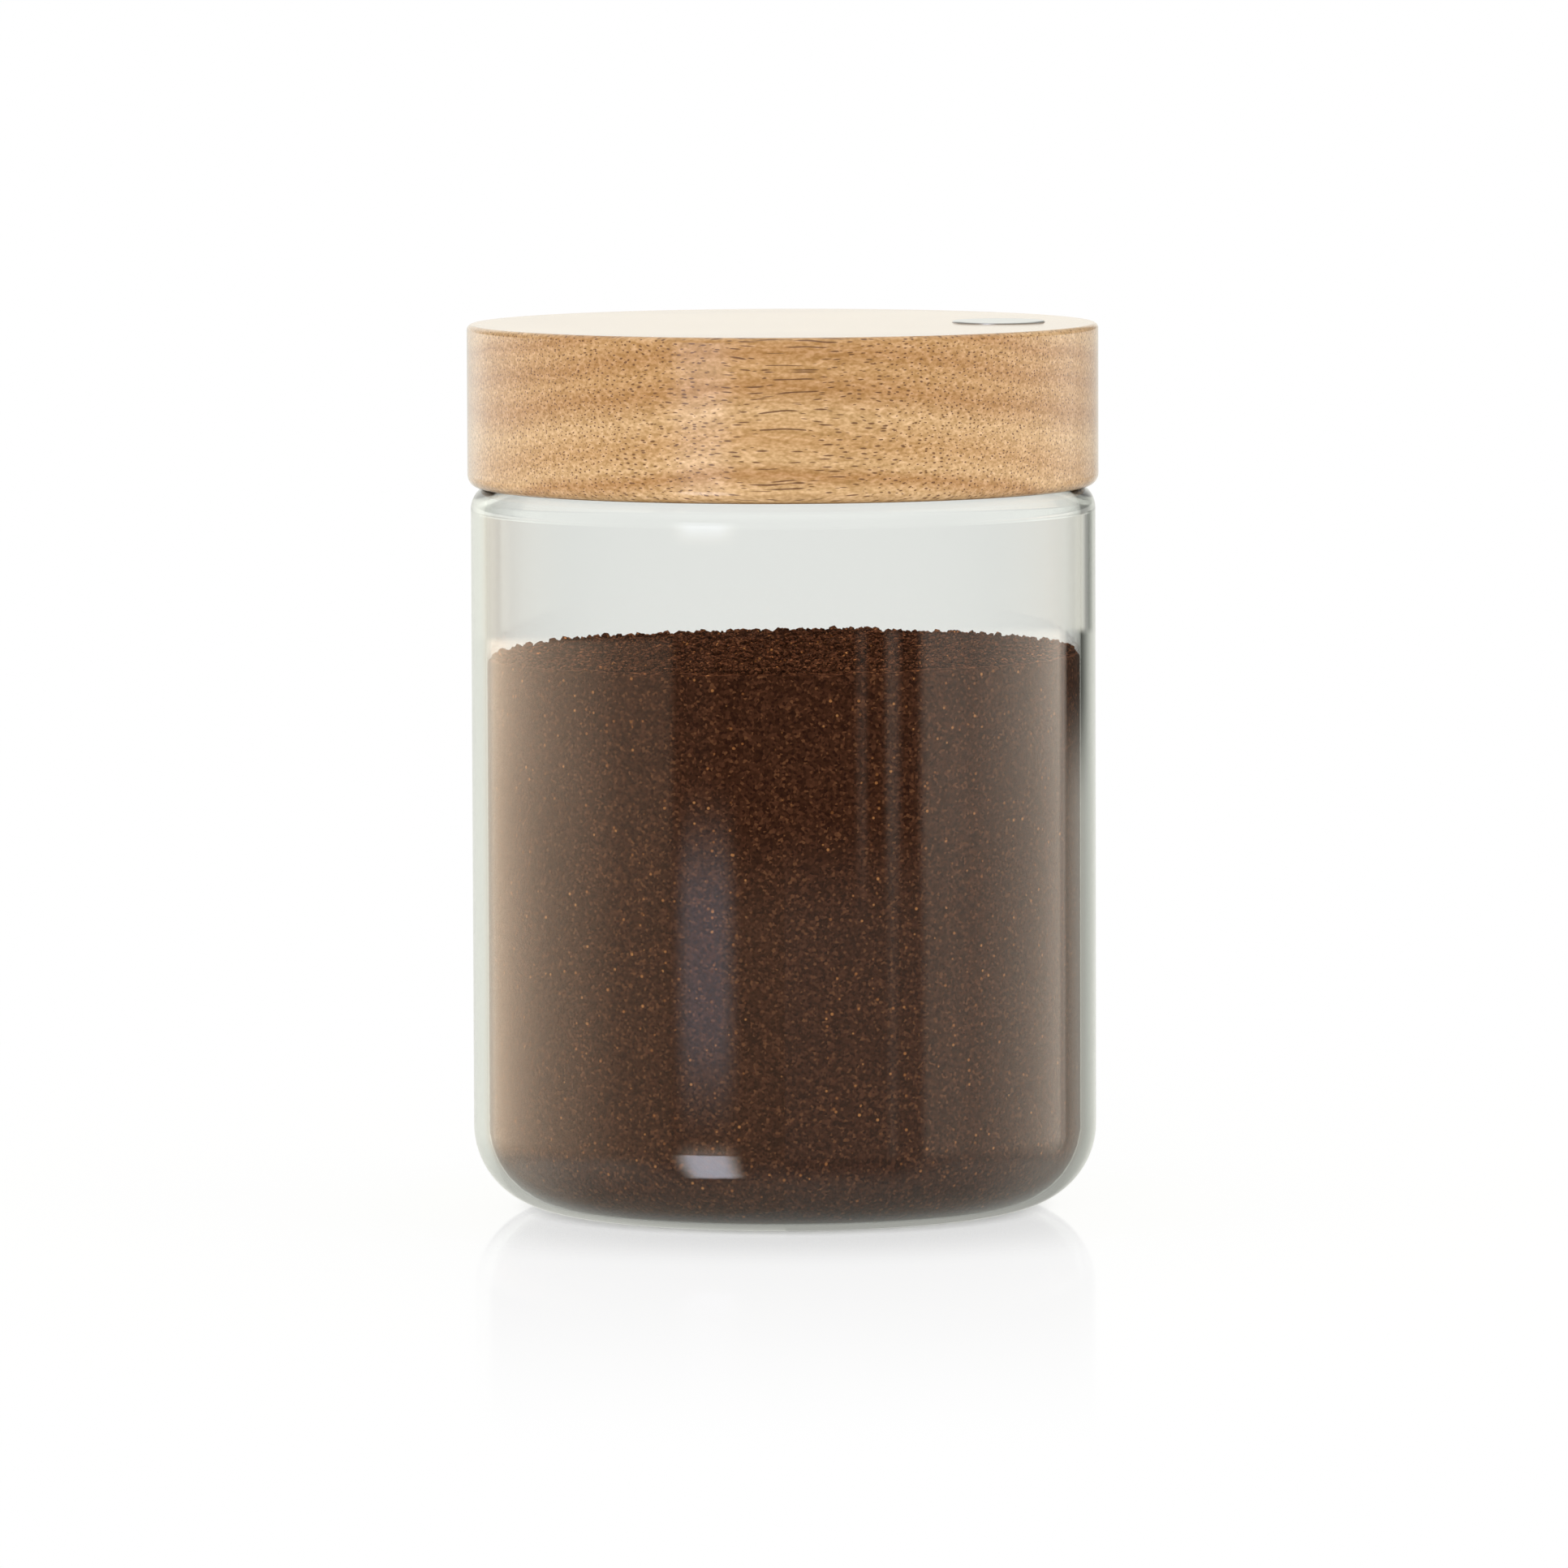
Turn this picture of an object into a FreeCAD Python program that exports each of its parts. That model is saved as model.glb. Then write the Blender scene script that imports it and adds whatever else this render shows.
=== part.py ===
# Glass food canister with a turned wooden lid, filled with ground coffee
# Millimetres, +Z up, origin at the centre of the jar's base
import FreeCAD, Part
import math
import os
import Sketcher

doc = FreeCAD.newDocument("food_canister")

# Driving dimensions: radii from the jar's axis, jar heights above the table, lid depths from the lid's underside
dimensions = {
    "jar_radius": 49.5,
    "wall_thickness": 2.3,
    "base_corner_radius": 13.0,
    "shoulder_height": 115.0,
    "shoulder_corner_radius": 4.0,
    "neck_radius": 42.6,
    "neck_root_radius": 1.4,
    "rim_height": 128.2,
    "rim_rounding": 1.1,
    "coffee_gap": 0.2,
    "coffee_level": 89.0,
    "lid_underside": 114.5,
    "lid_radius": 50.0,
    "lid_height": 25.8,
    "lid_top_rounding": 0.9,
    "lid_bottom_rounding": 2.0,
    "lip_radius": 47.9,
    "lip_depth": 1.0,
    "recess_radius": 44.6,
    "recess_depth": 15.4,
    "recess_lead_in": 0.8,
    "seal_bore_radius": 38.5,
    "seal_grip_radius": 42.75,
    "seal_outer_radius": 44.5,
    "seal_flange_thickness": 1.6,
    "seal_skirt_length": 6.5,
    "seal_edge_rounding": 0.4,
    "disc_radius": 7.3,
    "disc_offset": 34.2,
    "disc_thickness": 0.9,
    "disc_edge_rounding": 0.25,
    "disc_seat_radius": 7.4,
    "disc_seat_depth": 0.75,
    "adhesive_radius": 6.9,
    "adhesive_thickness": 0.15,
}
sizes = doc.addObject("Spreadsheet::Sheet", "sizes")
for row, (alias, value) in enumerate(dimensions.items(), start=1):
    sizes.set(f"A{row}", alias)
    sizes.set(f"B{row}", str(value))
    sizes.setAlias(f"B{row}", alias)
doc.recompute()

TOLERANCE = 1e-4


def new_body(label):
    body = doc.addObject("PartDesign::Body", label)
    body.Label = label
    return body


def new_sketch(body, name, plane_role):
    # A sketch on one of the body's own origin planes
    sketch = body.newObject("Sketcher::SketchObject", name)
    plane = next(item for item in body.Origin.OriginFeatures if item.Role == plane_role)
    sketch.AttachmentSupport = [(plane, "")]
    sketch.MapMode = "FlatFace"
    return sketch


def bind_start(sketch, line, direction, formula, name):
    # Holds a line's start at a distance from the sketch origin, or on the axis where there is no formula
    axis = {"DistanceX": -2, "DistanceY": -1}[direction]
    if formula is None:
        sketch.addConstraint(Sketcher.Constraint("PointOnObject", line, 1, axis))
        return
    start = sketch.Geometry[line].StartPoint
    rough = start.x if direction == "DistanceX" else start.y
    index = sketch.addConstraint(Sketcher.Constraint(direction, -1, 1, line, 1, rough))
    sketch.renameConstraint(index, name)
    sketch.setExpression(f"Constraints.{name}", formula)


def half_section(body, name, corners):
    # Closed outline in the XZ plane: each corner is a radius and a height, both formulas of the sheet.
    # The corners start on a rough circle, and the bound distances then pull them into place.
    sketch = new_sketch(body, name, "XZ_Plane")
    count = len(corners)
    middle = sizes.jar_radius
    reach = middle / 2
    rough = []
    for number in range(count):
        turn = 2 * math.pi * number / count
        rough.append(FreeCAD.Vector(middle - reach * math.cos(turn), middle - reach * math.sin(turn), 0))
    for number in range(count):
        sketch.addGeometry(Part.LineSegment(rough[number], rough[(number + 1) % count]), False)
    for number in range(count):
        sketch.addConstraint(Sketcher.Constraint("Coincident", number, 2, (number + 1) % count, 1))
    for number, (radius, height) in enumerate(corners):
        bind_start(sketch, number, "DistanceX", radius, f"radius_{number}")
        bind_start(sketch, number, "DistanceY", height, f"height_{number}")
    return sketch


def turned(body, name, corners, kind="PartDesign::Revolution"):
    # Turns a half section about the Z axis, as added or removed material
    sketch = half_section(body, f"{name}_section", corners)
    feature = body.newObject(kind, name)
    feature.Profile = sketch
    feature.ReferenceAxis = (sketch, ["V_Axis"])
    feature.Angle = 360.0
    doc.recompute()
    return feature


def circle_edge(feature, radius, height):
    # Name of the circular edge with that radius at that height in the body's own frame
    for number, edge in enumerate(feature.Shape.Edges, start=1):
        curve = edge.Curve
        if not isinstance(curve, Part.Circle):
            continue
        if abs(curve.Radius - radius) < TOLERANCE and abs(curve.Center.z - height) < TOLERANCE:
            return f"Edge{number}"
    raise RuntimeError(f"{feature.Name}: no edge of radius {radius} at height {height}")


def level_face(feature, height):
    # Name of the flat face that lies level at that height
    for number, face in enumerate(feature.Shape.Faces, start=1):
        if not isinstance(face.Surface, Part.Plane):
            continue
        if abs(face.CenterOfMass.z - height) < TOLERANCE:
            return f"Face{number}"
    raise RuntimeError(f"{feature.Name}: no level face at height {height}")


def dress(body, kind, name, base, edges, formula):
    # A fillet or chamfer of one size on the named edges
    feature = body.newObject(kind, name)
    feature.Base = (base, edges)
    feature.setExpression("Radius" if kind == "PartDesign::Fillet" else "Size", formula)
    doc.recompute()
    return feature


def round_edges(body, name, base, edges, formula):
    return dress(body, "PartDesign::Fillet", name, base, edges, formula)


def disc_circle(body, name, radius_formula):
    # A circle on the XY plane, centred where the disc sits on the lid
    sketch = new_sketch(body, name, "XY_Plane")
    centre = FreeCAD.Vector(sizes.disc_offset, 0, 0)
    circle = sketch.addGeometry(Part.Circle(centre, FreeCAD.Vector(0, 0, 1), sizes.disc_radius), False)
    sketch.addConstraint(Sketcher.Constraint("PointOnObject", circle, 3, -1))
    offset = sketch.addConstraint(Sketcher.Constraint("DistanceX", -1, 1, circle, 3, sizes.disc_offset))
    sketch.renameConstraint(offset, "offset")
    sketch.setExpression("Constraints.offset", "sizes.disc_offset")
    radius = sketch.addConstraint(Sketcher.Constraint("Radius", circle, sizes.disc_radius))
    sketch.renameConstraint(radius, "radius")
    sketch.setExpression("Constraints.radius", radius_formula)
    return sketch


def expect_cut(before, after):
    # A cut or a rounded outer edge has to take material away
    taken = before.Shape.Volume - after.Shape.Volume
    if taken <= 0:
        raise RuntimeError(f"{after.Name}: took {taken:.3f} mm3 away")
    print(f"{after.Name}: took {taken / 1000:.3f} cm3 away")


# Glass jar: a turned block, rounded at base, shoulder and neck, then hollowed to an even wall
jar = new_body("glass_jar")
jar_block = turned(jar, "jar_block", [
    (None, None),
    ("sizes.jar_radius", None),
    ("sizes.jar_radius", "sizes.shoulder_height"),
    ("sizes.neck_radius", "sizes.shoulder_height"),
    ("sizes.neck_radius", "sizes.rim_height"),
    (None, "sizes.rim_height"),
])
base_edge = circle_edge(jar_block, sizes.jar_radius, 0)
jar_base = round_edges(jar, "jar_base", jar_block, [base_edge], "sizes.base_corner_radius")
expect_cut(jar_block, jar_base)
shoulder_edge = circle_edge(jar_base, sizes.jar_radius, sizes.shoulder_height)
jar_shoulder = round_edges(jar, "jar_shoulder", jar_base, [shoulder_edge], "sizes.shoulder_corner_radius")
expect_cut(jar_base, jar_shoulder)
root_edge = circle_edge(jar_shoulder, sizes.neck_radius, sizes.shoulder_height)
jar_neck = round_edges(jar, "jar_neck", jar_shoulder, [root_edge], "sizes.neck_root_radius")
jar_hollow = jar.newObject("PartDesign::Thickness", "jar_hollow")
jar_hollow.Base = (jar_neck, [level_face(jar_neck, sizes.rim_height)])
jar_hollow.setExpression("Value", "sizes.wall_thickness")
jar_hollow.Reversed = True
doc.recompute()
expect_cut(jar_neck, jar_hollow)
neck_bore_radius = sizes.neck_radius - sizes.wall_thickness
rim_edges = [
    circle_edge(jar_hollow, sizes.neck_radius, sizes.rim_height),
    circle_edge(jar_hollow, neck_bore_radius, sizes.rim_height),
]
jar_rim = round_edges(jar, "jar_rim", jar_hollow, rim_edges, "sizes.rim_rounding")
expect_cut(jar_hollow, jar_rim)

# Ground coffee: stands on the jar's inner floor, with a thin air gap to the wall
coffee = new_body("ground_coffee")
coffee_radius_formula = "sizes.jar_radius - sizes.wall_thickness - sizes.coffee_gap"
coffee_fill = turned(coffee, "coffee_fill", [
    (None, "sizes.wall_thickness"),
    (coffee_radius_formula, "sizes.wall_thickness"),
    (coffee_radius_formula, "sizes.coffee_level"),
    (None, "sizes.coffee_level"),
])
coffee_radius = sizes.jar_radius - sizes.wall_thickness - sizes.coffee_gap
foot_edge = circle_edge(coffee_fill, coffee_radius, sizes.wall_thickness)
coffee_corner_formula = "sizes.base_corner_radius - sizes.wall_thickness - sizes.coffee_gap"
coffee_foot = round_edges(coffee, "coffee_foot", coffee_fill, [foot_edge], coffee_corner_formula)
expect_cut(coffee_fill, coffee_foot)

# Wooden lid: a turned block, bored for the neck, stepped at the mouth for the shoulder, with a seat for the disc
lid = new_body("wooden_lid")
lid.setExpression("Placement.Base.z", "sizes.lid_underside")
lid_block = turned(lid, "lid_block", [
    (None, None),
    ("sizes.lid_radius", None),
    ("sizes.lid_radius", "sizes.lid_height"),
    (None, "sizes.lid_height"),
])
lid_recess = turned(lid, "lid_recess", [
    (None, None),
    ("sizes.lip_radius", None),
    ("sizes.lip_radius", "sizes.lip_depth"),
    ("sizes.recess_radius", "sizes.lip_depth"),
    ("sizes.recess_radius", "sizes.recess_depth"),
    (None, "sizes.recess_depth"),
], "PartDesign::Groove")
expect_cut(lid_block, lid_recess)
seat_circle = disc_circle(lid, "seat_circle", "sizes.disc_seat_radius")
seat_circle.setExpression("AttachmentOffset.Base.z", "sizes.lid_height")
lid_seat = lid.newObject("PartDesign::Pocket", "lid_seat")
lid_seat.Profile = seat_circle
lid_seat.setExpression("Length", "sizes.disc_seat_depth")
doc.recompute()
expect_cut(lid_recess, lid_seat)
mouth_edge = circle_edge(lid_seat, sizes.recess_radius, sizes.lip_depth)
lid_mouth = dress(lid, "PartDesign::Chamfer", "lid_mouth", lid_seat, [mouth_edge], "sizes.recess_lead_in")
expect_cut(lid_seat, lid_mouth)
lower_edge = circle_edge(lid_mouth, sizes.lid_radius, 0)
lid_lower = round_edges(lid, "lid_lower", lid_mouth, [lower_edge], "sizes.lid_bottom_rounding")
expect_cut(lid_mouth, lid_lower)
upper_edge = circle_edge(lid_lower, sizes.lid_radius, sizes.lid_height)
lid_upper = round_edges(lid, "lid_upper", lid_lower, [upper_edge], "sizes.lid_top_rounding")
expect_cut(lid_lower, lid_upper)

# Silicone seal: an L-section ring in the recess, its flange over the rim and its skirt round the neck
seal = new_body("silicone_seal")
seal.setExpression("Placement.Base.z", "sizes.lid_underside")
flange_formula = "sizes.recess_depth - sizes.seal_flange_thickness"
skirt_formula = "sizes.recess_depth - sizes.seal_skirt_length"
seal_ring = turned(seal, "seal_ring", [
    ("sizes.seal_bore_radius", flange_formula),
    ("sizes.seal_grip_radius", flange_formula),
    ("sizes.seal_grip_radius", skirt_formula),
    ("sizes.seal_outer_radius", skirt_formula),
    ("sizes.seal_outer_radius", "sizes.recess_depth"),
    ("sizes.seal_bore_radius", "sizes.recess_depth"),
])
flange_height = sizes.recess_depth - sizes.seal_flange_thickness
skirt_height = sizes.recess_depth - sizes.seal_skirt_length
lip_edges = [
    circle_edge(seal_ring, sizes.seal_grip_radius, skirt_height),
    circle_edge(seal_ring, sizes.seal_bore_radius, flange_height),
]
seal_lips = round_edges(seal, "seal_lips", seal_ring, lip_edges, "sizes.seal_edge_rounding")
expect_cut(seal_ring, seal_lips)

# Adhesive film on the floor of the seat
adhesive = new_body("disc_adhesive")
seat_floor_formula = "sizes.lid_underside + sizes.lid_height - sizes.disc_seat_depth"
adhesive.setExpression("Placement.Base.z", seat_floor_formula)
adhesive_film = adhesive.newObject("PartDesign::Pad", "adhesive_film")
adhesive_film.Profile = disc_circle(adhesive, "film_circle", "sizes.adhesive_radius")
adhesive_film.setExpression("Length", "sizes.adhesive_thickness")

# Metal disc on the film, standing slightly proud of the lid
disc = new_body("inlay_disc")
disc.setExpression("Placement.Base.z", f"{seat_floor_formula} + sizes.adhesive_thickness")
disc_blank = disc.newObject("PartDesign::Pad", "disc_blank")
disc_blank.Profile = disc_circle(disc, "blank_circle", "sizes.disc_radius")
disc_blank.setExpression("Length", "sizes.disc_thickness")
doc.recompute()
disc_edge = circle_edge(disc_blank, sizes.disc_radius, sizes.disc_thickness)
disc_rounded = round_edges(disc, "disc_rounded", disc_blank, [disc_edge], "sizes.disc_edge_rounding")
expect_cut(disc_blank, disc_rounded)

# Every feature and every sub-part has to be sound before anything is written
doc.recompute()
for item in doc.Objects:
    if "Invalid" in item.State or "Error" in item.State:
        raise RuntimeError(f"{item.Label} failed: {item.State}")
bodies = [jar, coffee, lid, seal, adhesive, disc]
for body in bodies:
    if body.Shape.isNull() or not body.Shape.isValid() or len(body.Shape.Solids) != 1:
        raise RuntimeError(f"{body.Label}: not one valid solid")
os.makedirs("parts", exist_ok=True)
for body in bodies:
    body.Shape.exportStep(f"parts/{body.Label}.step")
    box = body.Shape.optimalBoundingBox()
    extent = f"x {box.XMin:.2f} to {box.XMax:.2f}, z {box.ZMin:.2f} to {box.ZMax:.2f}"
    print(f"{body.Label}: {extent}, {body.Shape.Volume / 1000:.2f} cm3")
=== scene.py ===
# Food canister: glass jar of ground coffee under a turned wooden lid with a metal inlay
# Metres in Blender; the pieces' sizes are millimetres, turned to metres where a mesh is made
import math
import random

import bmesh
import bpy
from mathutils import Matrix, Vector, noise


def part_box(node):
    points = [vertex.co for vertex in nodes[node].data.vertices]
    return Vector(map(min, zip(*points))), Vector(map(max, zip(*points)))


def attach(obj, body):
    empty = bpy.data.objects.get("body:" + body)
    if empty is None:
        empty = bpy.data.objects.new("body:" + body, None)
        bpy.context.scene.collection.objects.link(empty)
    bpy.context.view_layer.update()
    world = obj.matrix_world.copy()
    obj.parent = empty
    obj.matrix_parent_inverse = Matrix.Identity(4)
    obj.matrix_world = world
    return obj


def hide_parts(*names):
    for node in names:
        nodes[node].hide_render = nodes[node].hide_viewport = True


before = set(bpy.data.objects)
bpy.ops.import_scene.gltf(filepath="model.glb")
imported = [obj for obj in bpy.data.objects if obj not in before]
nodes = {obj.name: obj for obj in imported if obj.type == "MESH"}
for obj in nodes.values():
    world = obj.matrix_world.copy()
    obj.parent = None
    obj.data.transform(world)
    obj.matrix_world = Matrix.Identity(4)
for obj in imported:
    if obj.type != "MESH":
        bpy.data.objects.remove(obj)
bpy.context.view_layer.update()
mm = 0.001
tiny = 1e-6                 # millimetres; anything shorter counts as nothing
noiseSpan = (0.3, 0.7)      # most values of a noise texture lie between these
print("frame loaded:", ", ".join(sorted(nodes)))


def hexColour(code):
    # sRGB hex to the linear colour that sockets take
    parts = [int(code[i:i + 2], 16) / 255 for i in (1, 3, 5)]
    linear = [p / 12.92 if p <= 0.04045 else ((p + 0.055) / 1.055) ** 2.4 for p in parts]
    return (*linear, 1.0)


def addNode(tree, kind, inputs=None, stops=None, **settings):
    # one shader node: its settings, its inputs as values or links, and a colour ramp's stops
    # a pair of inputs takes a pair of values: a MapRange reads the range (1, 2) and gives the range (3, 4)
    node = tree.nodes.new("ShaderNode" + kind)
    for name, value in settings.items():
        setattr(node, name, value)
    for key, given in (inputs or {}).items():
        for name, value in zip(key, given) if isinstance(key, tuple) else [(key, given)]:
            if isinstance(value, bpy.types.NodeSocket):
                tree.links.new(value, node.inputs[name])
            else:
                node.inputs[name].default_value = value
    for index, (place, colour) in enumerate(stops or []):
        ramp = node.color_ramp.elements
        stop = ramp[index] if index < 2 else ramp.new(place)
        stop.position = place
        stop.color = hexColour(colour) if isinstance(colour, str) else (colour, colour, colour, 1.0)
    return node


def startMaterial(name):
    material = bpy.data.materials.new(name)
    material.use_nodes = True
    tree = material.node_tree
    return material, tree, tree.nodes["Principled BSDF"]


def patternSpace(tree, cell, place=None):
    # a place in millimetres, or else the object's own coordinates, counted in cells of these millimetres
    if place is None:
        place = addNode(tree, "TexCoord").outputs["Object"]
        cell = [mm * c for c in cell]
    scale = [1 / c for c in cell]
    return addNode(tree, "VectorMath", {0: place, 1: scale}, operation="MULTIPLY").outputs[0]


def sectionRuns(corners, closed, arcStep):
    # corners are (radius, height, rounding), with the material on the left of the way round
    # returns runs of (point, normal) pairs: straight stretches, and round corners in fine steps
    count = len(corners)
    arcs = {}
    ends = []
    for i, (r, z, rounding) in enumerate(corners):
        here = Vector((r, z))
        loose = not closed and i in (0, count - 1)
        if loose or rounding == 0:
            ends.append((here, here))
            continue
        before = Vector(corners[i - 1][:2])
        after = Vector(corners[(i + 1) % count][:2])
        u = (here - before).normalized()
        v = (after - here).normalized()
        side = 1 if u.x * v.y - u.y * v.x > 0 else -1      # 1 turns left, an outer corner
        turn = u.angle(v)
        inset = rounding * math.tan(turn / 2)
        start = here - u * inset
        centre = start + side * rounding * Vector((-u.y, u.x))
        steps = max(4, math.ceil(rounding * turn / arcStep))       # four at least, to look round
        arcs[i] = []
        for k in range(steps + 1):
            spoke = Matrix.Rotation(side * turn * k / steps, 2) @ (start - centre)
            arcs[i].append((centre + spoke, spoke.normalized() * side))
        ends.append((start, arcs[i][-1][0]))
    section = []
    for i in range(count):
        if i in arcs:
            section.append(arcs[i])
        if not closed and i == count - 1:
            break
        a = ends[i][1]
        b = ends[(i + 1) % count][0]
        if (b - a).length > tiny:
            along = (b - a).normalized()
            out = Vector((along.y, -along.x))
            section.append([(a, out), (b, out)])
    return section


def turnedMesh(name, corners, around, closed=False, arcStep=0.4, centreX=0.0):
    # turns a section about a vertical axis, with exact normals so that reflections stay clean
    faces = []
    normals = []
    points = []
    rings = {}

    def ring(point):
        # first index of this point's ring, and whether it is wider than the axis; runs that meet share a ring
        key = (round(point.x, 5), round(point.y, 5))
        wide = point.x > tiny
        if key not in rings:
            rings[key] = len(points)
            for k in range(around if wide else 1):
                angle = 2 * math.pi * k / around
                x = centreX + point.x * math.cos(angle)
                points.append((x * mm, point.x * math.sin(angle) * mm, point.y * mm))
        return rings[key], wide

    for run in sectionRuns(corners, closed, arcStep):
        for (a, na), (b, nb) in zip(run, run[1:]):
            ia, wideA = ring(a)
            ib, wideB = ring(b)
            for k in range(around):
                n = (k + 1) % around
                face = [(ia + k * wideA, na, k), (ia + n * wideA, na, k + 1)][:1 + wideA]
                face += [(ib + n * wideB, nb, k + 1), (ib + k * wideB, nb, k)][:1 + wideB]
                faces.append([index for index, _, _ in face])
                for _, out, step in face:
                    angle = 2 * math.pi * step / around
                    normals.append((out.x * math.cos(angle), out.x * math.sin(angle), out.y))
    mesh = bpy.data.meshes.new(name)
    mesh.from_pydata(points, [], faces)
    return mesh, normals


def placePiece(name, mesh, material, body, node, normals=None):
    mesh.update()
    if normals:
        mesh.polygons.foreach_set("use_smooth", [True] * len(mesh.polygons))
        mesh.normals_split_custom_set(normals)
    mesh.materials.append(material)
    piece = bpy.data.objects.new(name, mesh)
    bpy.context.scene.collection.objects.link(piece)
    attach(piece, body)
    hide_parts(node)
    print("made", name, len(mesh.polygons), "faces")
    return piece


# glass jar: blown, thinner in the base and the shoulder than in the wall, fire polished
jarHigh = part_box("glass_jar")[1]
jar = {
    "radius": jarHigh.x / mm,
    "rimHeight": jarHigh.z / mm,
    "wall": 2.3,
    "baseCorner": 13.0,
    "shoulderHeight": 115.0,
    "shoulderCorner": 4.0,
    "neckRadius": 42.6,
    "neckRoot": 1.4,
    "rimRounding": 1.1,
    "baseWall": 1.4,
    "innerBase": 11.6,          # starts at the height where the outer corner does
    "shoulderWall": 0.5,        # the blown shoulder thins towards the neck
    "innerShoulder": 4.0,
    "innerRoot": 2.8,
    "around": 256,
    "arcStep": 0.35,
    "ior": 1.5,
    "tint": "#c2ceb8",          # soda-lime glass, a faint green in its thickness
    "absorption": 60.0,         # per metre
}


def clearGlass():
    # soda-lime glass, blown and fire polished: clear, sharp reflections and a faint green in its thickness
    material, tree, shader = startMaterial("clearSodaLimeGlass")
    shader.inputs["Base Color"].default_value = hexColour("#ffffff")
    shader.inputs["Roughness"].default_value = 0.0
    shader.inputs["IOR"].default_value = jar["ior"]
    shader.inputs["Transmission Weight"].default_value = 1.0
    tinted = {"Color": hexColour(jar["tint"]), "Density": jar["absorption"]}
    inside = addNode(tree, "VolumeAbsorption", tinted).outputs[0]
    tree.links.new(inside, tree.nodes["Material Output"].inputs["Volume"])
    return material


def makeJar():
    r = jar["radius"]
    wall = jar["wall"]
    inner = r - wall
    bore = jar["neckRadius"] - wall
    ceiling = jar["shoulderHeight"] - jar["shoulderWall"]
    corners = [
        (0, 0, 0),
        (r, 0, jar["baseCorner"]),
        (r, jar["shoulderHeight"], jar["shoulderCorner"]),
        (jar["neckRadius"], jar["shoulderHeight"], jar["neckRoot"]),
        (jar["neckRadius"], jar["rimHeight"], jar["rimRounding"]),
        (bore, jar["rimHeight"], jar["rimRounding"]),
        (bore, ceiling, jar["innerRoot"]),
        (inner, ceiling, jar["innerShoulder"]),
        (inner, jar["baseWall"], jar["innerBase"]),
        (0, jar["baseWall"], 0),
    ]
    mesh, normals = turnedMesh("jarGlass", corners, jar["around"], arcStep=jar["arcStep"])
    piece = placePiece("jarGlass", mesh, clearGlass(), "jar", "glass_jar", normals)
    piece.visible_shadow = False        # lamps reach the coffee through the glass


# ground coffee: loose grounds with a level, crumbly top
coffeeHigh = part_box("ground_coffee")[1]
glassGap = 0.15                 # between the grounds and the jar's base
crumbRoom = 0.9                 # from the mean level up to the CAD top, which few crumbs pass
coffee = {
    "radius": coffeeHigh.x / mm,
    "floor": jar["baseWall"] + glassGap,
    "corner": jar["innerBase"] - glassGap,
    "top": coffeeHigh.z / mm - crumbRoom,
    "around": 240,
    "cornerSteps": 8,
    "wallSteps": 10,
    "topRings": 60,
    "edgeHeight": 0.4,          # the wall ends this far under the top
    "edgeInset": 0.3,           # and the top starts this far inside it
    "edgeDrop": 0.15,           # the grounds sink a little at the glass
    "edgeReach": 2.5,
    "tilt": 0.008,              # and lie a little higher on the right
    "unevenness": 0.55,
    # width, share of the height and noise layer
    "bumps": [(21, 0.5, 3.1), (3.2, 0.45, 7.7), (1.3, 0.4, 1.9)],
    "crumbs": 6800,
    "crumbSize": (0.3, 0.95),
    "crumbSkew": 2.5,           # many small crumbs, few large ones
    "crumbMargin": 0.2,         # kept free along the glass
    "crumbLift": 0.25,          # share of its size that a crumb's middle lies above the top
    "crumbTurns": (6.28, 3.14),         # most that a crumb is turned about Z and X, in radians
    "crumbStretch": [(0.75, 1.15), (0.7, 1.0), (0.6, 0.9)],
    "crumbDents": (0.75, 1.05),
    "seed": 11,
    "grain": 0.42,
    "grainDepth": 0.25,
    "browns": [(0.0, "#2d180f"), (0.3, "#3a2114"), (0.65, "#46291b"), (0.9, "#563524"), (1.0, "#6e472e")],
    "flake": 0.8,
    "flakeShare": 0.07,
    "flakeEdge": (0.24, 0.36),
    "tans": [(0.0, "#6f4427"), (0.6, "#945d34"), (1.0, "#b67d4a")],
    "paintedTopLight": 3.4,              # painted light: how much paler up-facing coffee is drawn, in place of the light that the lid keeps off the top
    "paintedLightFacing": (0.5, 0.85),   # where it faces up by this much
}


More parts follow.
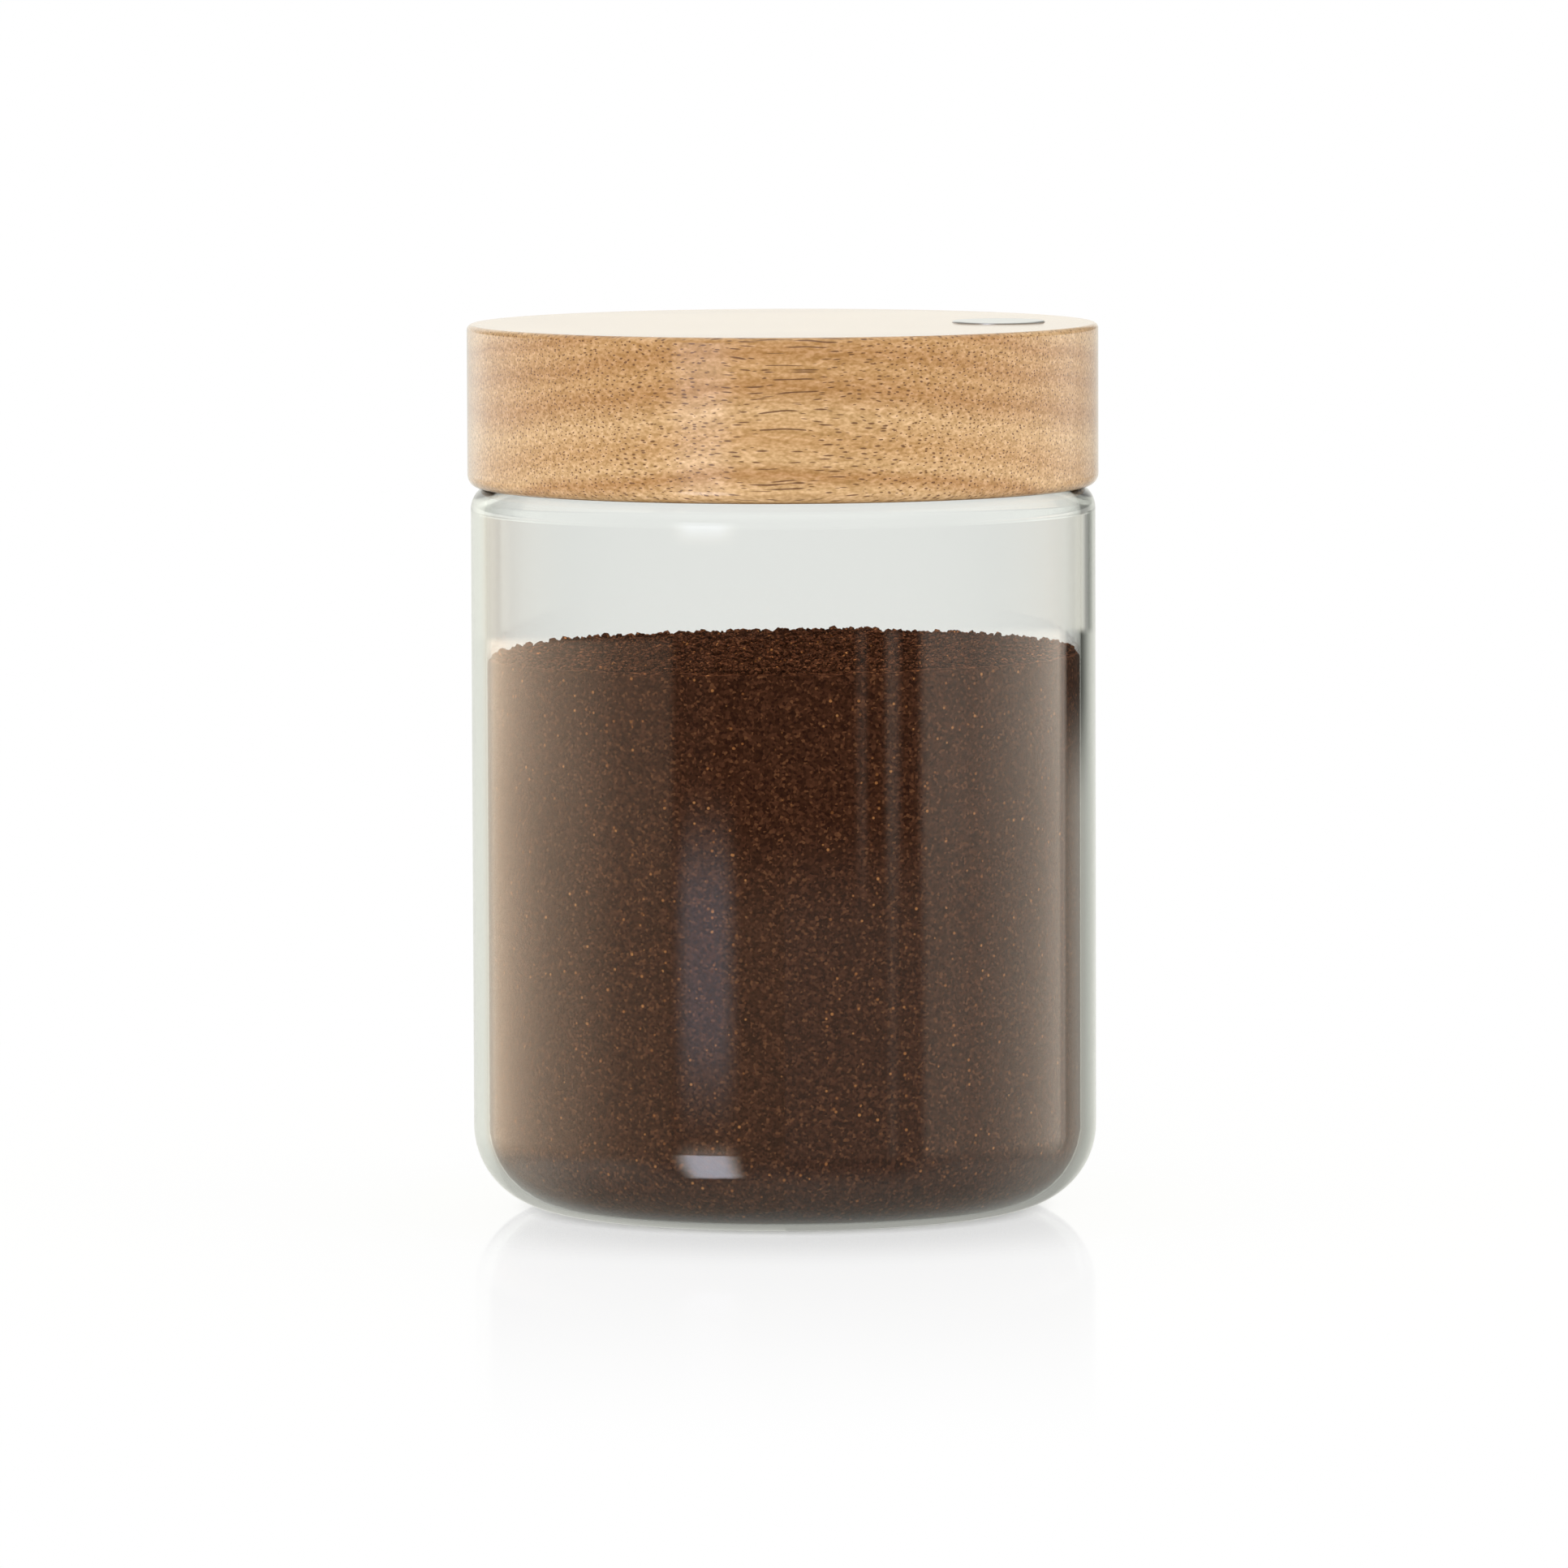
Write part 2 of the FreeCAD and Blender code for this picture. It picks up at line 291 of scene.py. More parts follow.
def groundCoffee():
    # dark roast beans, medium ground: dull dark brown grains, a few tan flakes of bean skin
    material, tree, shader = startMaterial("groundDarkRoastCoffee")
    grainSpace = patternSpace(tree, [coffee["grain"]] * 3)
    grains = addNode(tree, "TexVoronoi", {"Vector": grainSpace, "Scale": 1.0})
    pick = addNode(tree, "SeparateColor", {0: grains.outputs["Color"]}).outputs[0]
    tone = addNode(tree, "ValToRGB", {0: pick}, stops=coffee["browns"]).outputs[0]

    # flakes: a few cells of a coarser pattern, each with its own tan
    flakeSpace = patternSpace(tree, [coffee["flake"]] * 3)
    flakes = addNode(tree, "TexVoronoi", {"Vector": flakeSpace, "Scale": 1.0})
    lot = addNode(tree, "SeparateColor", {0: flakes.outputs["Color"]}).outputs
    chosen = {0: lot[1], 1: 1 - coffee["flakeShare"]}
    few = addNode(tree, "Math", chosen, operation="GREATER_THAN").outputs[0]
    middle = {0: flakes.outputs["Distance"], (1, 2): coffee["flakeEdge"], (3, 4): (1.0, 0.0)}
    near = addNode(tree, "MapRange", middle).outputs[0]
    flake = addNode(tree, "Math", {0: few, 1: near}, operation="MULTIPLY").outputs[0]
    tan = addNode(tree, "ValToRGB", {0: lot[2]}, stops=coffee["tans"]).outputs[0]
    grounds = addNode(tree, "Mix", {0: flake, 6: tone, 7: tan}, data_type="RGBA").outputs[2]

    # painted light: faces that point up are drawn paler, in place of the light that the lid keeps off the top
    up = addNode(tree, "SeparateXYZ", {0: addNode(tree, "NewGeometry").outputs["True Normal"]}).outputs["Z"]
    loose = {0: up, (1, 2): coffee["paintedLightFacing"], (3, 4): (1.0, coffee["paintedTopLight"])}
    paintedTopLift = addNode(tree, "MapRange", loose, interpolation_type="SMOOTHSTEP").outputs[0]
    colour = addNode(tree, "VectorMath", {0: grounds, "Scale": paintedTopLift}, operation="SCALE").outputs[0]
    tree.links.new(colour, shader.inputs["Base Color"])
    height = {"Height": grains.outputs["Distance"], "Distance": coffee["grainDepth"] * mm, "Strength": 0.6}
    bump = addNode(tree, "Bump", height, invert=True).outputs[0]
    tree.links.new(bump, shader.inputs["Normal"])
    shader.inputs["Roughness"].default_value = 0.8
    shader.inputs["Specular IOR Level"].default_value = 0.1
    return material


def crumble(x, y):
    # height of the loose top, in millimetres about its mean
    rough = 0
    for width, share, layer in coffee["bumps"]:
        rough += share * noise.noise(Vector((x / width, y / width, layer)))
    sunk = max(0.0, 1 - (coffee["radius"] - math.hypot(x, y)) / coffee["edgeReach"])
    return coffee["unevenness"] * rough + coffee["tilt"] * x - coffee["edgeDrop"] * sunk ** 2


def bedRings():
    # (radius, height) of a round foot, a straight wall and the loose top
    # and the index of the first ring that is loose
    r = coffee["radius"]
    floor = coffee["floor"]
    corner = coffee["corner"]
    rings = []
    for k in range(coffee["cornerSteps"] + 1):
        angle = math.pi / 2 * k / coffee["cornerSteps"]
        rings.append((r - corner + corner * math.sin(angle), floor + corner * (1 - math.cos(angle))))
    wallHigh = coffee["top"] - coffee["edgeHeight"]
    for k in range(1, coffee["wallSteps"] + 1):
        rings.append((r, floor + corner + (wallHigh - floor - corner) * k / coffee["wallSteps"]))
    looseFrom = len(rings) - 1
    for k in range(coffee["topRings"]):
        rings.append(((r - coffee["edgeInset"]) * (1 - k / coffee["topRings"]), coffee["top"]))
    return rings, looseFrom


def scatterCrumbs(points, faces):
    # loose crumbs lying on the top, each a dented lump
    draw = random.Random(coffee["seed"])
    lump = bmesh.new()
    bmesh.ops.create_icosphere(lump, subdivisions=1, radius=1)
    lumpPoints = [v.co.copy() for v in lump.verts]
    lumpFaces = [[v.index for v in f.verts] for f in lump.faces]
    lump.free()
    small, large = coffee["crumbSize"]
    turnZ, turnX = coffee["crumbTurns"]
    for _ in range(coffee["crumbs"]):
        size = small + (large - small) * draw.random() ** coffee["crumbSkew"]
        reach = (coffee["radius"] - size - coffee["crumbMargin"]) * math.sqrt(draw.random())
        angle = draw.uniform(0, 2 * math.pi)
        x = reach * math.cos(angle)
        y = reach * math.sin(angle)
        z = coffee["top"] + crumble(x, y) + coffee["crumbLift"] * size
        aboutZ = Matrix.Rotation(draw.uniform(0, turnZ), 3, "Z")
        spin = aboutZ @ Matrix.Rotation(draw.uniform(0, turnX), 3, "X")
        stretch = Vector([draw.uniform(*span) for span in coffee["crumbStretch"]])
        start = len(points)
        for p in lumpPoints:
            px, py, pz = spin @ (p * stretch * size * draw.uniform(*coffee["crumbDents"]))
            points.append(((x + px) * mm, (y + py) * mm, (z + pz) * mm))
        for face in lumpFaces:
            faces.append([start + index for index in face])


def makeCoffee():
    around = coffee["around"]
    rings, looseFrom = bedRings()
    points = []
    for i, (radius, z) in enumerate(rings):
        for k in range(around):
            angle = 2 * math.pi * k / around
            x = radius * math.cos(angle)
            y = radius * math.sin(angle)
            lift = crumble(x, y) if i >= looseFrom else 0
            points.append((x * mm, y * mm, (z + lift) * mm))
    faces = []
    for i in range(len(rings) - 1):
        low = i * around
        high = low + around
        for k in range(around):
            n = (k + 1) % around
            faces.append((low + k, low + n, high + n, high + k))
    lowMiddle = len(points)
    points.append((0, 0, coffee["floor"] * mm))
    points.append((0, 0, (coffee["top"] + crumble(0, 0)) * mm))
    lastRing = (len(rings) - 1) * around
    for k in range(around):
        n = (k + 1) % around
        faces.append((n, k, lowMiddle))
        faces.append((lastRing + k, lastRing + n, lowMiddle + 1))
    scatterCrumbs(points, faces)
    mesh = bpy.data.meshes.new("coffeeBed")
    mesh.from_pydata(points, [], faces)
    mesh.polygons.foreach_set("use_smooth", [True] * len(mesh.polygons))
    placePiece("coffeeBed", mesh, groundCoffee(), "jar", "ground_coffee")


# wooden lid: one turned block, bored to go over the neck, with a seat for the disc
lidLow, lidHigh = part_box("wooden_lid")
discLow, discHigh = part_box("inlay_disc")
lid = {
    "radius": lidHigh.x / mm,
    "underside": lidLow.z / mm,
    "top": lidHigh.z / mm,
    "topRounding": 0.9,
    "bottomRounding": 2.0,
    "lipRadius": 47.9,
    "lipDepth": 1.0,
    "recessRadius": 44.6,
    "recessDepth": 15.4,
    "recessRounding": 0.5,
    "leadIn": 0.8,
    "seatRadius": 7.4,
    "seatDepth": 0.75,
    "seatX": (discLow.x + discHigh.x) / 2 / mm,
    "rimStep": 0.01,            # a sliver of the flat top, which ends the turned section
    "around": 256,
    "seatAround": 96,
    "arcStep": 0.12,
    "pithHeight": 310.0,        # the log's centre, far above the lid: wide, gently arched rings
    "tones": {"early": "#c9a272", "middle": "#bd9260", "late": "#af814f"},
    # radius about the log's centre, and tone
    "years": [(165, "early"), (169, "middle"), (172, "early"), (174.5, "late"), (176.2, "middle"),
              (178.8, "late"), (181, "middle"), (183.9, "late"), (188, "early"), (192, "middle"),
              (195.2, "early"), (197.1, "late"), (199.4, "early"), (204, "middle")],
    "ringSpan": (165.0, 205.0),
    "wave": (40, 18, 18),       # the rings' slow waves along X, Y and Z
    "waveDepth": 5.0,
    "fibre": (26, 0.7, 0.7),
    "fibreTones": (0.8, 1.14),
    "cell": (0.9, 0.42, 0.42),  # cut cells, drawn coarser than real ones so that they show
    "cellTones": (0.78, 1.18),
    "fineSpan": (0.7, 1.3),
    "fineDepth": (1.1, 0.88),   # dark fibres are deeper in colour than pale ones
    "poreSpacing": 0.58,
    "poreLots": (0.1, 1.0),     # a tube draws a lot from 0 to 1, which sets its width
    "poreWidths": (0.08, 0.25),         # shares of the spacing
    "poreEdge": (0.65, 1.15),
    "poreBend": (17, 8, 8),
    "poreReach": 2.8,
    "poreColour": "#5f391b",
    "poreStrength": 0.9,
    "poreDepth": 0.1,
    "roughness": (0.52, 0.42),
}


def turnedWood():
    # open-pored hardwood, turned, sanded and oiled: soft arched rings, dark pores as dashes along the grain
    # and as dots on the end grain, a low satin shine
    material, tree, shader = startMaterial("oiledHardwood")
    place = addNode(tree, "TexCoord").outputs["Object"]
    inMm = addNode(tree, "VectorMath", {0: place, 1: [1 / mm] * 3}, operation="MULTIPLY").outputs[0]

    # growth rings about the log's centre, which runs along X
    slow = patternSpace(tree, lid["wave"], inMm)
    wander = addNode(tree, "TexNoise", {"Vector": slow, "Scale": 1.0, "Detail": 3.0}).outputs["Color"]
    centred = addNode(tree, "VectorMath", {0: wander, 1: [0.5] * 3}, operation="SUBTRACT").outputs[0]
    waved = {0: centred, 1: [0, lid["waveDepth"], lid["waveDepth"]], 2: inMm}
    drift = addNode(tree, "VectorMath", waved, operation="MULTIPLY_ADD").outputs[0]
    section = {0: drift, 1: [0, 1, 1], 2: [0, 0, -lid["pithHeight"]]}
    spoke = addNode(tree, "VectorMath", section, operation="MULTIPLY_ADD").outputs[0]
    ring = addNode(tree, "VectorMath", {0: spoke}, operation="LENGTH").outputs["Value"]
    age = addNode(tree, "MapRange", {0: ring, (1, 2): lid["ringSpan"]}).outputs[0]
    first, last = lid["ringSpan"]
    years = [((r - first) / (last - first), lid["tones"][name]) for r, name in lid["years"]]
    tone = addNode(tree, "ValToRGB", {0: age}, stops=years).outputs[0]

    # fibres along X, and the fine mottle of cut cells
    fibreSpace = patternSpace(tree, lid["fibre"], drift)
    fibres = addNode(tree, "TexNoise", {"Vector": fibreSpace, "Scale": 1.0, "Detail": 3.0}).outputs[0]
    streaks = {0: fibres, (1, 2): noiseSpan, (3, 4): lid["fibreTones"]}
    fibreTone = addNode(tree, "MapRange", streaks).outputs[0]
    cellSpace = patternSpace(tree, lid["cell"], inMm)
    cells = addNode(tree, "TexNoise", {"Vector": cellSpace, "Scale": 1.0, "Detail": 1.0}).outputs[0]
    mottle = {0: cells, (1, 2): noiseSpan, (3, 4): lid["cellTones"]}
    cellTone = addNode(tree, "MapRange", mottle).outputs[0]
    fine = addNode(tree, "Math", {0: fibreTone, 1: cellTone}, operation="MULTIPLY").outputs[0]
    toned = {0: 1.0, 6: tone, 7: fine}
    shaded = addNode(tree, "Mix", toned, data_type="RGBA", blend_type="MULTIPLY").outputs[2]
    depth = addNode(tree, "MapRange", {0: fine, (1, 2): lid["fineSpan"], (3, 4): lid["fineDepth"]}).outputs[0]
    grained = addNode(tree, "HueSaturation", {"Saturation": depth, "Color": shaded}).outputs[0]

    # pores: thin tubes that run along X and bend a little, so the turned surface cuts them at every angle
    bendSpace = patternSpace(tree, lid["poreBend"], inMm)
    bend = addNode(tree, "TexNoise", {"Vector": bendSpace, "Scale": 1.0, "Detail": 2.0}).outputs["Color"]
    swayed = {0: bend, 1: [0, lid["poreReach"], lid["poreReach"]], 2: inMm}
    bent = addNode(tree, "VectorMath", swayed, operation="MULTIPLY_ADD").outputs[0]
    across = addNode(tree, "SeparateXYZ", {0: bent}).outputs
    tubeSpace = addNode(tree, "CombineXYZ", {0: across[1], 1: across[2]}).outputs[0]
    spacing = {"Vector": tubeSpace, "Scale": 1 / lid["poreSpacing"]}
    tubes = addNode(tree, "TexVoronoi", spacing, voronoi_dimensions="2D")
    lot = addNode(tree, "SeparateColor", {0: tubes.outputs["Color"]}).outputs[0]
    drawn = {0: lot, (1, 2): lid["poreLots"], (3, 4): lid["poreWidths"]}
    width = addNode(tree, "MapRange", drawn).outputs[0]
    edge = addNode(tree, "Math", {0: tubes.outputs["Distance"], 1: width}, operation="DIVIDE").outputs[0]
    pore = addNode(tree, "MapRange", {0: edge, (1, 2): lid["poreEdge"], (3, 4): (1.0, 0.0)}).outputs[0]
    dark = addNode(tree, "Math", {0: pore, 1: lid["poreStrength"]}, operation="MULTIPLY").outputs[0]
    pored = {0: dark, 6: grained, 7: hexColour(lid["poreColour"])}
    colour = addNode(tree, "Mix", pored, data_type="RGBA").outputs[2]
    tree.links.new(colour, shader.inputs["Base Color"])

    sheen = addNode(tree, "MapRange", {0: fibres, (1, 2): noiseSpan, (3, 4): lid["roughness"]}).outputs[0]
    tree.links.new(sheen, shader.inputs["Roughness"])
    height = {"Height": pore, "Distance": lid["poreDepth"] * mm, "Strength": 0.5}
    bump = addNode(tree, "Bump", height, invert=True).outputs[0]
    tree.links.new(bump, shader.inputs["Normal"])
    shader.inputs["Coat Weight"].default_value = 1.0
    shader.inputs["Coat Roughness"].default_value = 0.1
    return material


def makeLid():
    r = lid["radius"]
    low = lid["underside"]
    top = lid["top"]
    ceiling = low + lid["recessDepth"]
    mouth = low + lid["lipDepth"]
    flat = r - lid["topRounding"]
    corners = [
        (0, ceiling, 0),
        (lid["recessRadius"], ceiling, lid["recessRounding"]),
        (lid["recessRadius"], mouth + lid["leadIn"], 0),
        (lid["recessRadius"] + lid["leadIn"], mouth, 0),
        (lid["lipRadius"], mouth, 0),
        (lid["lipRadius"], low, 0),
        (r, low, lid["bottomRounding"]),
        (r, top, lid["topRounding"]),
        (flat - lid["rimStep"], top, 0),
    ]
    mesh, normals = turnedMesh("lidWood", corners, lid["around"], arcStep=lid["arcStep"])
    seatFloor = top - lid["seatDepth"]
    seat = [(lid["seatRadius"], top, 0), (lid["seatRadius"], seatFloor, 0), (0, seatFloor, 0)]
    seatMesh, seatNormals = turnedMesh("discSeat", seat, lid["seatAround"], centreX=lid["seatX"])

    # the flat top is filled between the rim and the seat's edge
    form = bmesh.new()
    form.from_mesh(mesh)
    form.from_mesh(seatMesh)
    rims = [edge for edge in form.edges if edge.is_boundary]
    filled = bmesh.ops.triangle_fill(form, use_beauty=True, use_dissolve=False, edges=rims, normal=(0, 0, 1))
    caps = [f for f in filled["geom"] if isinstance(f, bmesh.types.BMFace)]
    for face in caps:
        if face.normal.z < 0:
            face.normal_flip()
    capLoops = sum(len(face.loops) for face in caps)
    form.to_mesh(mesh)
    form.free()
    bpy.data.meshes.remove(seatMesh)
    normals = normals + seatNormals + [(0, 0, 1)] * capLoops
    placePiece("lidWood", mesh, turnedWood(), "lid", "wooden_lid", normals)


# seal: moulded ring with an L section that grips the neck
sealLow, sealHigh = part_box("silicone_seal")
seal = {
    "outer": sealHigh.x / mm,
    "bottom": sealLow.z / mm,
    "top": sealHigh.z / mm,
    "bore": 38.5,
    "grip": 42.75,
    "flange": 1.6,
    "rounding": 0.4,
    "around": 160,
    "arcStep": 0.12,
    "skin": 0.6,                # width of the mould's faint unevenness
    "skinDepth": 0.03,
    "tones": ("#d9dad5", "#e4e4df"),
    "roughness": (0.48, 0.6),
}


def whiteSilicone():
    # translucent white silicone, compression moulded: soft, slightly see-through, a dull even skin
    material, tree, shader = startMaterial("mouldedSilicone")
    skinSpace = patternSpace(tree, [seal["skin"]] * 3)
    skin = addNode(tree, "TexNoise", {"Vector": skinSpace, "Scale": 1.0, "Detail": 2.0}).outputs[0]
    tone = addNode(tree, "ValToRGB", {0: skin}, stops=zip(noiseSpan, seal["tones"])).outputs[0]
    tree.links.new(tone, shader.inputs["Base Color"])
    rough = addNode(tree, "MapRange", {0: skin, (1, 2): noiseSpan, (3, 4): seal["roughness"]}).outputs[0]
    tree.links.new(rough, shader.inputs["Roughness"])
    height = {"Height": skin, "Distance": seal["skinDepth"] * mm, "Strength": 0.3}
    bump = addNode(tree, "Bump", height).outputs[0]
    tree.links.new(bump, shader.inputs["Normal"])
    shader.inputs["IOR"].default_value = 1.41
    shader.inputs["Subsurface Weight"].default_value = 0.3
    shader.inputs["Subsurface Radius"].default_value = (1.2, 1.1, 1.0)
    shader.inputs["Subsurface Scale"].default_value = mm
    return material


def makeSeal():
    rounding = seal["rounding"]
    flangeLow = seal["top"] - seal["flange"]
    corners = [
        (seal["bore"], flangeLow, rounding),
        (seal["grip"], flangeLow, rounding),
        (seal["grip"], seal["bottom"], rounding),
        (seal["outer"], seal["bottom"], rounding),
        (seal["outer"], seal["top"], rounding),
        (seal["bore"], seal["top"], rounding),
    ]
    mesh, normals = turnedMesh("sealRing", corners, seal["around"], closed=True, arcStep=seal["arcStep"])
    placePiece("sealRing", mesh, whiteSilicone(), "lid", "silicone_seal", normals)


# inlay disc: a plain satin plate, glued into its seat
disc = {
    "radius": (discHigh.x - discLow.x) / 2 / mm,
    "bottom": discLow.z / mm,
    "top": discHigh.z / mm,
    "rounding": 0.25,
    "around": 128,
    "arcStep": 0.08,
    "brush": (9.0, 0.22, 0.22),         # length and width of the brushed lines, coarse enough to show
    "tones": ("#e0e1e1", "#ececec"),
    "roughness": (0.28, 0.36),
}


def satinMetal():
    # aluminium, finely brushed one way and clear anodised: pale grey, an even soft shine
    material, tree, shader = startMaterial("brushedAluminium")
    brushed = {"Vector": patternSpace(tree, disc["brush"]), "Scale": 1.0, "Detail": 2.0}
    lines = addNode(tree, "TexNoise", brushed).outputs[0]
    tone = addNode(tree, "ValToRGB", {0: lines}, stops=zip(noiseSpan, disc["tones"])).outputs[0]
    tree.links.new(tone, shader.inputs["Base Color"])
    rough = addNode(tree, "MapRange", {0: lines, (1, 2): noiseSpan, (3, 4): disc["roughness"]}).outputs[0]
    tree.links.new(rough, shader.inputs["Roughness"])
    shader.inputs["Metallic"].default_value = 1.0
    return material


def makeDisc():
    r = disc["radius"]
    edge = disc["rounding"]
    corners = [(0, disc["bottom"], 0), (r, disc["bottom"], edge), (r, disc["top"], edge), (0, disc["top"], 0)]
    steps = {"around": disc["around"], "arcStep": disc["arcStep"]}
    mesh, normals = turnedMesh("lidDisc", corners, centreX=lid["seatX"], **steps)
    placePiece("lidDisc", mesh, satinMetal(), "lid", "inlay_disc", normals)


# adhesive under the disc: it keeps its CAD mesh
film = {
    "blotch": 1.5,
    "tones": ("#cfc9ba", "#dcd7ca"),
}


def adhesiveFilm():
    # acrylic adhesive film: milky, slightly uneven where it wets the wood
    material, tree, shader = startMaterial("acrylicAdhesive")
    blotchSpace = patternSpace(tree, [film["blotch"]] * 3)
    blotch = addNode(tree, "TexNoise", {"Vector": blotchSpace, "Scale": 1.0, "Detail": 2.0}).outputs[0]
    tone = addNode(tree, "ValToRGB", {0: blotch}, stops=zip(noiseSpan, film["tones"])).outputs[0]
    tree.links.new(tone, shader.inputs["Base Color"])
    shader.inputs["Roughness"].default_value = 0.5
    shader.inputs["IOR"].default_value = 1.47
    return material


def dressAdhesive():
    materials = nodes["disc_adhesive"].data.materials
    materials.clear()
    materials.append(adhesiveFilm())
    print("dressed disc_adhesive")


makeJar()
makeCoffee()
makeLid()
makeSeal()
makeDisc()
dressAdhesive()


# studio: white surroundings; mirrors see cards along the sides, matt surfaces see an even level and lamps
# heights are sines of a look's angle over the horizon, turns are degrees from the front
studio = {
    "fillLevel": 0.36,              # what matt surfaces get from all around
    "peak": 2.5,                    # brightest level that a strip may have
    "strips": {                     # levels by their turn
        # cards along both sides
        "leftCards": [(0, 0.0), (24, 0.0), (30, 0.04), (40.6, 0.04), (43.4, 0.36), (64, 0.56), (85, 1.24),
                      (115, 1.9), (128, 1.9), (136, 1.75), (141, 1.55), (144, 0.82), (150, 0.9), (180, 0.94)],
        "rightCards": [(0, 0.0), (26, 0.0), (28, 0.2), (30, 0.26), (31.5, 0.0), (37.5, 0.0), (39.5, 0.46),
                       (42, 0.42), (45, 0.0), (51, 0.03), (54.5, 0.72), (66, 0.8), (75, 0.73), (95, 1.18),
                       (119, 1.6), (126.5, 1.6), (129.5, 0.04), (146, 0.04), (150, 0.12), (155, 0.35),
                       (160, 0.6), (166.5, 0.85), (180, 0.9)],
        # their upper ends, which the clear glass above the coffee mirrors
        "leftEnds": [(0, 0.04), (88, 0.06), (118, 0.5), (140, 0.7), (150, 0.96), (180, 0.94)],
        "rightEnds": [(0, 0.04), (88, 0.06), (118, 0.5), (135, 0.36), (140, 0.38), (144, 0.75), (151, 0.8),
                      (153.5, 0.45), (155.5, 0.15), (159, 0.18), (164, 0.75), (180, 0.9)],
        # the walls above them, which the lid's side mirrors
        "leftWall": [(0, 0.3), (60, 0.3), (75, 0.5), (90, 0.84), (105, 1.2), (120, 1.6), (146, 1.5),
                     (158, 1.1), (172, 0.8), (180, 0.9)],
        "rightWall": [(0, 0.3), (60, 0.3), (75, 0.5), (90, 0.84), (105, 1.2), (120, 1.6), (130, 1.5),
                      (138, 0.9), (150, 0.76), (162, 0.76), (180, 0.9)],
        # the table under them
        "table": [(0, 0.23), (105, 0.23), (138, 0.6), (147, 0.4), (154, 0.5), (166, 0.7), (180, 0.9)],
        # and the table close to the jar, which its round base mirrors
        "base": [(0, 0.22), (45, 0.25), (70, 0.7), (110, 1.05), (128, 0.9), (138, 0.65), (147, 0.6),
                 (180, 0.55)],
    },
    "cardTop": (-0.0721, -0.0713),  # heights where the cards pass into their ends
    "rightHigher": 0.0006,          # by how much the right ones reach further up
    "wallFoot": (-0.0618, -0.0592),
    "wallTop": (0.0, 0.03),
    "sky": (0.35, 0.85),
    "skyLevels": (0.25, 1.0),       # at the sides; the backdrop is white all the way up
    "backdrop": (132.0, 156.0),     # turns where it starts, and how much later on the right
    "rightLater": 20.0,
    "cardEnd": (135.0, 152.0),      # turns where the cards' tint and drop fade out
    "cardDrop": 0.88,               # what the table keeps of a card's level
    "tableEdge": (-0.096, -0.085),
    "tableTurn": (60.0, 120.0),     # turns over which that edge rises, and by how much
    "tableRise": 0.01,
    "baseTop": (-0.3, -0.118),
    "rightBase": 0.72,              # share of the base's level on the right
    "underJar": (-0.75, -0.4),
    "underLevel": 0.4,
    "warmFrom": (-0.36, -0.2),      # the cards' warm tint weakens further down
    "warmLevels": (0.5, 1.0),
    "leftTint": "#ffe4ca",
    "rightTint": "#fff0e0",
    "whiteTint": "#fffff8",
    # softbox at the front on the left
    "softboxTurn": (-39, -20),
    "softboxEdge": 5.0,
    "softboxTint": "#eef0ff",
    # low and high end, softness and level of itself, of its dim image on the table's edge
    # and of its bright one in the table
    "softboxBands": [(-0.0636, 0.235, 0.001, 2.3), (-0.107, -0.088, 0.006, 0.8), (-0.6, -0.113, 0.002, 4.6)],
}


def lookRays(tree):
    # look: 1 for what the camera sees straight, mirrored or through glass, 0 for light on matt surfaces
    # bounced: 1 for looks that were mirrored on the way
    path = addNode(tree, "LightPath").outputs
    straight = {0: path["Is Camera Ray"], 1: path["Is Glossy Ray"]}
    seen = addNode(tree, "Math", straight, operation="ADD").outputs[0]
    through = {0: seen, 1: path["Is Transmission Ray"]}
    seen = addNode(tree, "Math", through, operation="ADD", use_clamp=True).outputs[0]
    unscattered = addNode(tree, "Math", {0: path["Diffuse Depth"], 1: 0.5}, operation="LESS_THAN").outputs[0]
    look = addNode(tree, "Math", {0: seen, 1: unscattered}, operation="MULTIPLY").outputs[0]
    mirror = addNode(tree, "Math", {0: path["Glossy Depth"], 1: 0.5}, operation="GREATER_THAN").outputs[0]
    bounced = addNode(tree, "Math", {0: look, 1: mirror}, operation="MULTIPLY").outputs[0]
    return look, bounced


def within(tree, value, low, high, soft):
    # 1 between low and high, with soft ends
    rise = {0: value, (1, 2): (low - soft, low + soft)}
    fall = {0: value, (1, 2): (high - soft, high + soft)}
    inside = addNode(tree, "MapRange", rise, interpolation_type="SMOOTHSTEP").outputs[0]
    beyond = addNode(tree, "MapRange", fall, interpolation_type="SMOOTHSTEP").outputs[0]
    return addNode(tree, "Math", {0: inside, 1: beyond}, operation="SUBTRACT").outputs[0]


def lookDirection(tree):
    # height of a look, and its turn from the front in degrees, positive to the right
    way = addNode(tree, "SeparateXYZ", {0: addNode(tree, "TexCoord").outputs["Generated"]}).outputs
    front = addNode(tree, "Math", {0: way["Y"], 1: -1.0}, operation="MULTIPLY").outputs[0]
    angle = addNode(tree, "Math", {0: way["X"], 1: front}, operation="ARCTAN2").outputs[0]
    turn = addNode(tree, "Math", {0: angle}, operation="DEGREES").outputs[0]
    return way["Z"], turn


def levelStrips(tree, fromFront):
    # each strip's level at this turn, the same to both sides
    share = addNode(tree, "Math", {0: fromFront, 1: 180.0}, operation="DIVIDE").outputs[0]
    strips = {}
    for name, levels in studio["strips"].items():
        stops = [(turn / 180, level / studio["peak"]) for turn, level in levels]
        strip = addNode(tree, "ValToRGB", {0: share}, stops=stops).outputs[0]
        strips[name] = addNode(tree, "Math", {0: strip, 1: studio["peak"]}, operation="MULTIPLY").outputs[0]
    return strips


